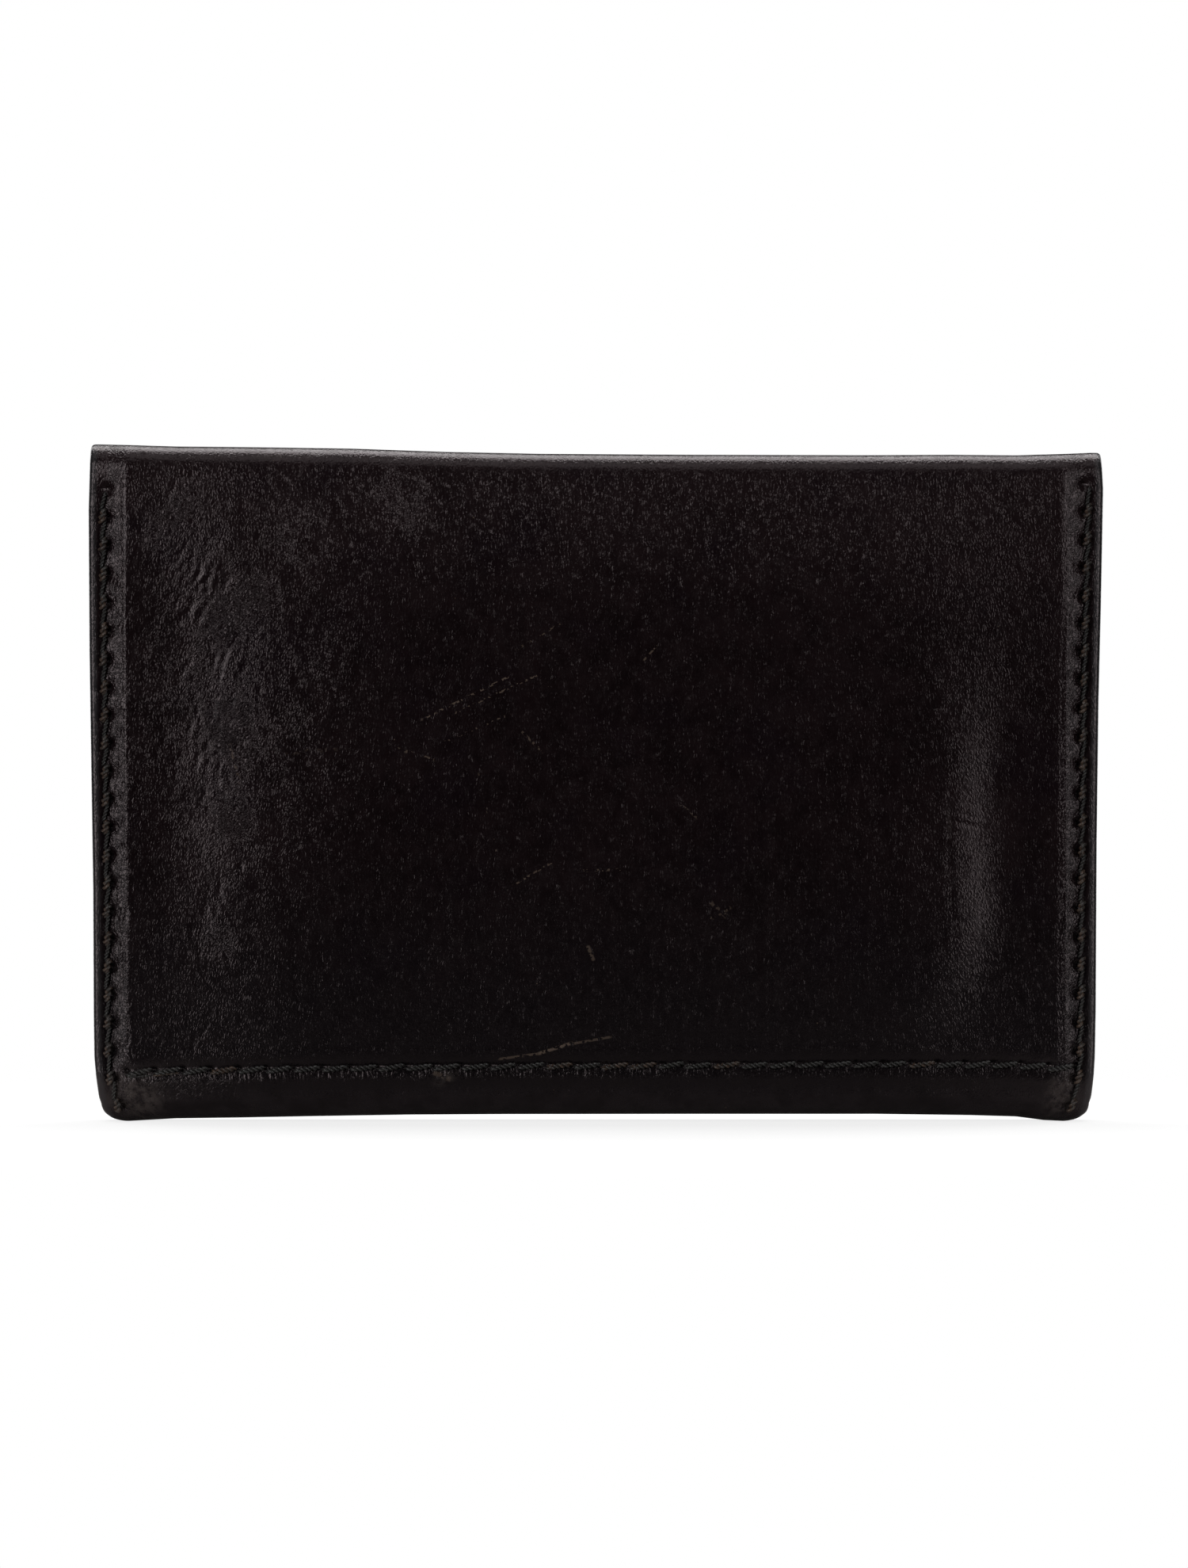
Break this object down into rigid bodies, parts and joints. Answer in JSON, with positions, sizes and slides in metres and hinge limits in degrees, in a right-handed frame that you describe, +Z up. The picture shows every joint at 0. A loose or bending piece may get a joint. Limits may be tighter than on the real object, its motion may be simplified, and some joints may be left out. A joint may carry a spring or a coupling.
{
  "type": "flap-over business card case",
  "caption": "Slim leather card case with side gussets, an inner slot pocket and a flap held by a press stud.",
  "frame": {"origin": "under the middle of the case, on the surface that it stands on", "axes": "+X across the case, +Y out of the back, so the flap and the stud look to -Y, and +Z up from the base to the fold at the top"},
  "size_m": [0.108, 0.014, 0.072],
  "materials": {
    "black_leather": "glazed, worn",
    "lining": "matte, suede side",
    "thread": "waxed",
    "snap_metal": "darkened",
    "spring_wire": "bright"
  },
  "bodies": {
    "pouch": {"back_panel": "black_leather", "back_lining": "lining", "rear_pocket": "lining", "left_gusset": "black_leather", "right_gusset": "black_leather", "rear_crease": "black_leather", "rear_crease_lining": "lining", "rear_left_stitches": "thread", "rear_right_stitches": "thread", "pocket_stitches": "thread"},
    "top": {"top_strip": "black_leather", "top_strip_lining": "lining", "front_crease": "black_leather", "front_crease_lining": "lining"},
    "flap": {"flap": "black_leather", "flap_lining": "lining", "flap_patch": "lining", "snap_cap": "snap_metal", "snap_socket": "snap_metal", "socket_spring": "spring_wire", "flap_stitches": "thread"},
    "front": {"front_panel": "black_leather", "front_lining": "lining", "snap_stud": "snap_metal", "stud_rivet": "snap_metal", "front_left_stitches": "thread", "front_right_stitches": "thread", "mouth_stitches": "thread"}
  },
  "joints": [
    {"name": "rear_fold", "type": "hinge", "parent": "pouch", "child": "top", "pos_m": [0, 0.00579, 0.07079], "axis": [-1, 0, 0], "range_deg": [0, 90], "deforming": ["rear_crease", "rear_crease_lining"]},
    {"name": "front_fold", "type": "hinge", "parent": "top", "child": "flap", "pos_m": [0, -0.0046, 0.07079], "axis": [-1, 0, 0], "range_deg": [0, 90], "deforming": ["front_crease", "front_crease_lining"]},
    {"name": "mouth", "type": "hinge", "parent": "pouch", "child": "front", "pos_m": [0, -0.0027, 0.0022], "axis": [1, 0, 0], "range_deg": [0, 5], "deforming": ["left_gusset", "right_gusset"]}
  ],
  "couplings": [
    {"joint": "front_fold", "follows": "rear_fold", "ratio": 1},
    {"joint": "mouth", "follows": "rear_fold", "ratio": 0.055556}
  ]
}
